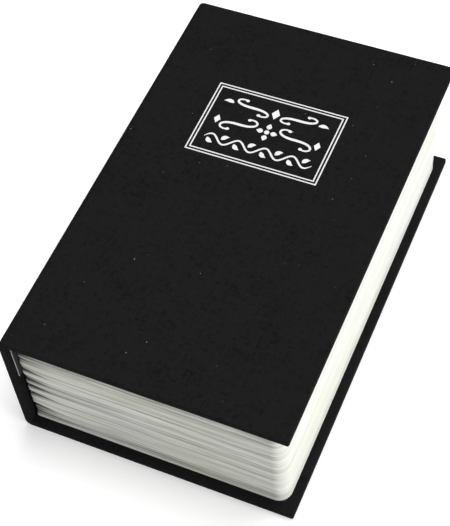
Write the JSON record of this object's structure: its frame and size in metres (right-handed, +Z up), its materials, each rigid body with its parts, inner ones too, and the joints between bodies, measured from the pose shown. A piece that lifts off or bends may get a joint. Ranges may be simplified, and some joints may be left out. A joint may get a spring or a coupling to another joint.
{
  "type": "book diversion safe",
  "caption": "Small hardcover book whose moulded page block hides a locking steel box under a hinged lid.",
  "frame": {"origin": "middle of the closed book's footprint, on the surface that the back cover lies on", "axes": "+Z up through the closed book, +Y from its tail to its head, +X from its spine to its fore edge"},
  "size_m": [0.112, 0.18, 0.06],
  "materials": {
    "book_cloth": "black book cloth, matte, fine weave",
    "board": "raw grey board",
    "endpaper": "black endpaper with a light core",
    "page_moulding": "grey-cream moulded plastic, satin, ribbed like page edges",
    "painted_steel": "black powder coat with a fine grain",
    "zinc_steel": "zinc plated",
    "lock_chrome": "bright nickel plate",
    "liner": "black felt",
    "foil": "white stamped foil of the cover's double-rule frame and ornament"
  },
  "bodies": {
    "case": {"back_board": "board", "spine_board": "board", "case_cloth": "book_cloth", "joint_cloth": "book_cloth", "back_endpaper": "endpaper", "spine_guard": "endpaper", "joint_paper": "endpaper", "page_block": "page_moulding", "safe_tray": "painted_steel", "tray_hinge_leaf": "zinc_steel", "hinge_pin": "zinc_steel", "strike_plate": "zinc_steel", "tray_liner": "liner", "box_screw_1": "zinc_steel", "box_screw_2": "zinc_steel", "box_screw_3": "zinc_steel", "box_screw_4": "zinc_steel"},
    "front_cover": {"front_board": "board", "front_cloth": "book_cloth", "front_endpaper": "endpaper"},
    "lid": {"box_lid": "painted_steel", "lid_hinge_leaf": "zinc_steel", "lock_body": "lock_chrome", "lock_nut": "zinc_steel"},
    "lock_rotor": {"lock_plug": "lock_chrome", "lock_stop_washer": "zinc_steel", "lock_cam": "zinc_steel", "lock_cam_screw": "zinc_steel"}
  },
  "joints": [
    {"name": "cover_hinge", "type": "hinge", "parent": "case", "child": "front_cover", "pos_m": [-0.0542, 0, 0.0584], "axis": [0, -1, 0], "range_deg": [0, 178], "deforming": ["joint_cloth", "joint_paper"]},
    {"name": "lid_hinge", "type": "hinge", "parent": "case", "child": "lid", "pos_m": [-0.045, 0, 0.051], "axis": [0, -1, 0], "range_deg": [0, 100]},
    {"name": "lock_turn", "type": "hinge", "parent": "lid", "child": "lock_rotor", "pos_m": [0.025, 0, 0.047], "axis": [0, 0, 1], "range_deg": [0, 90]}
  ],
  "couplings": [
    {"joint": "lid_hinge", "follows": "cover_hinge", "ratio": 0.5617}
  ]
}
